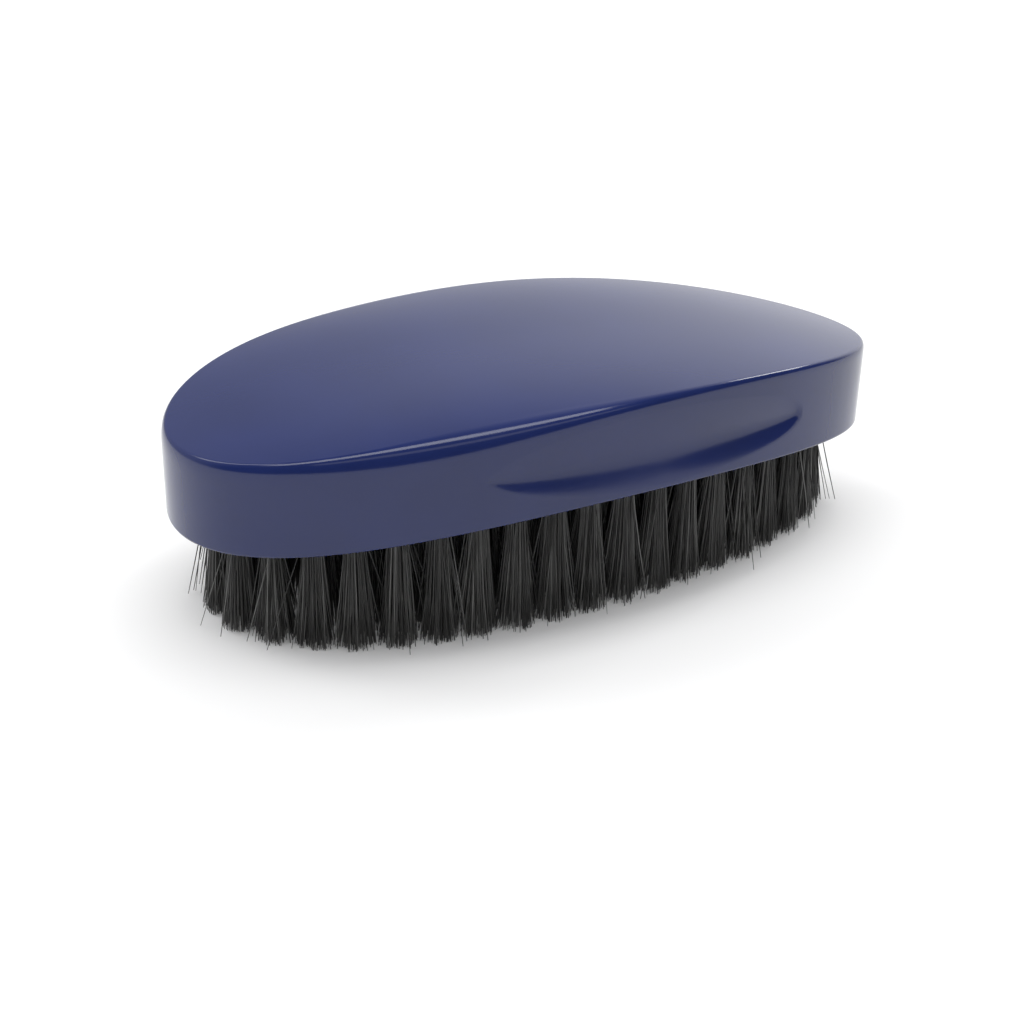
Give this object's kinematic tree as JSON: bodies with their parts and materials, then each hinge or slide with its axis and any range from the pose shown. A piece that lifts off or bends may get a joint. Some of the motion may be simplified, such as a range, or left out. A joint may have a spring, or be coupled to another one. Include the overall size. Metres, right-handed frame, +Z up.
{
  "type": "palm wave brush",
  "caption": "Palm-held hair brush: an arched, egg-shaped lacquered wood block with a finger groove on each side and black bristle tufts set in its sole, trimmed flat.",
  "frame": {"origin": "centre of the object's box, on the plane of the trimmed bristle tips", "axes": "+X along the block to its narrow end, +Y across it, +Z up through the block, away from the bristles"},
  "size_m": [0.12, 0.056, 0.0391],
  "materials": {
    "lacquered_wood": "dark blue gloss lacquer on close-grained hardwood",
    "bristle": "black boar-type bristle with a dull sheen",
    "anchor_wire": "galvanised flat wire"
  },
  "bodies": {
    "root": {"block": "lacquered_wood", "edge_tuft_01": "bristle", "edge_tuft_02": "bristle", "edge_tuft_03": "bristle", "edge_tuft_04": "bristle", "edge_tuft_05": "bristle", "edge_tuft_06": "bristle", "edge_tuft_07": "bristle", "edge_tuft_08": "bristle", "edge_tuft_09": "bristle", "edge_tuft_10": "bristle", "edge_tuft_11": "bristle", "edge_tuft_12": "bristle", "edge_tuft_13": "bristle", "edge_tuft_14": "bristle", "edge_tuft_15": "bristle", "edge_tuft_16": "bristle", "edge_tuft_17": "bristle", "edge_tuft_18": "bristle", "edge_tuft_19": "bristle", "edge_tuft_20": "bristle", "edge_tuft_21": "bristle", "edge_tuft_22": "bristle", "edge_tuft_23": "bristle", "edge_tuft_24": "bristle", "edge_tuft_25": "bristle", "edge_tuft_26": "bristle", "edge_tuft_27": "bristle", "edge_tuft_28": "bristle", "edge_tuft_29": "bristle", "edge_tuft_30": "bristle", "edge_tuft_31": "bristle", "edge_tuft_32": "bristle", "edge_tuft_33": "bristle", "edge_tuft_34": "bristle", "edge_tuft_35": "bristle", "edge_tuft_36": "bristle", "edge_tuft_37": "bristle", "edge_tuft_38": "bristle", "tuft_rank_01": "bristle", "tuft_rank_02": "bristle", "tuft_rank_03": "bristle", "tuft_rank_04": "bristle", "tuft_rank_05": "bristle", "tuft_rank_06": "bristle", "tuft_rank_07": "bristle", "tuft_rank_08": "bristle", "tuft_rank_09": "bristle", "tuft_rank_10": "bristle", "tuft_rank_11": "bristle", "tuft_rank_12": "bristle", "tuft_rank_13": "bristle", "tuft_rank_14": "bristle", "tuft_rank_15": "bristle"}
  },
  "joints": []
}
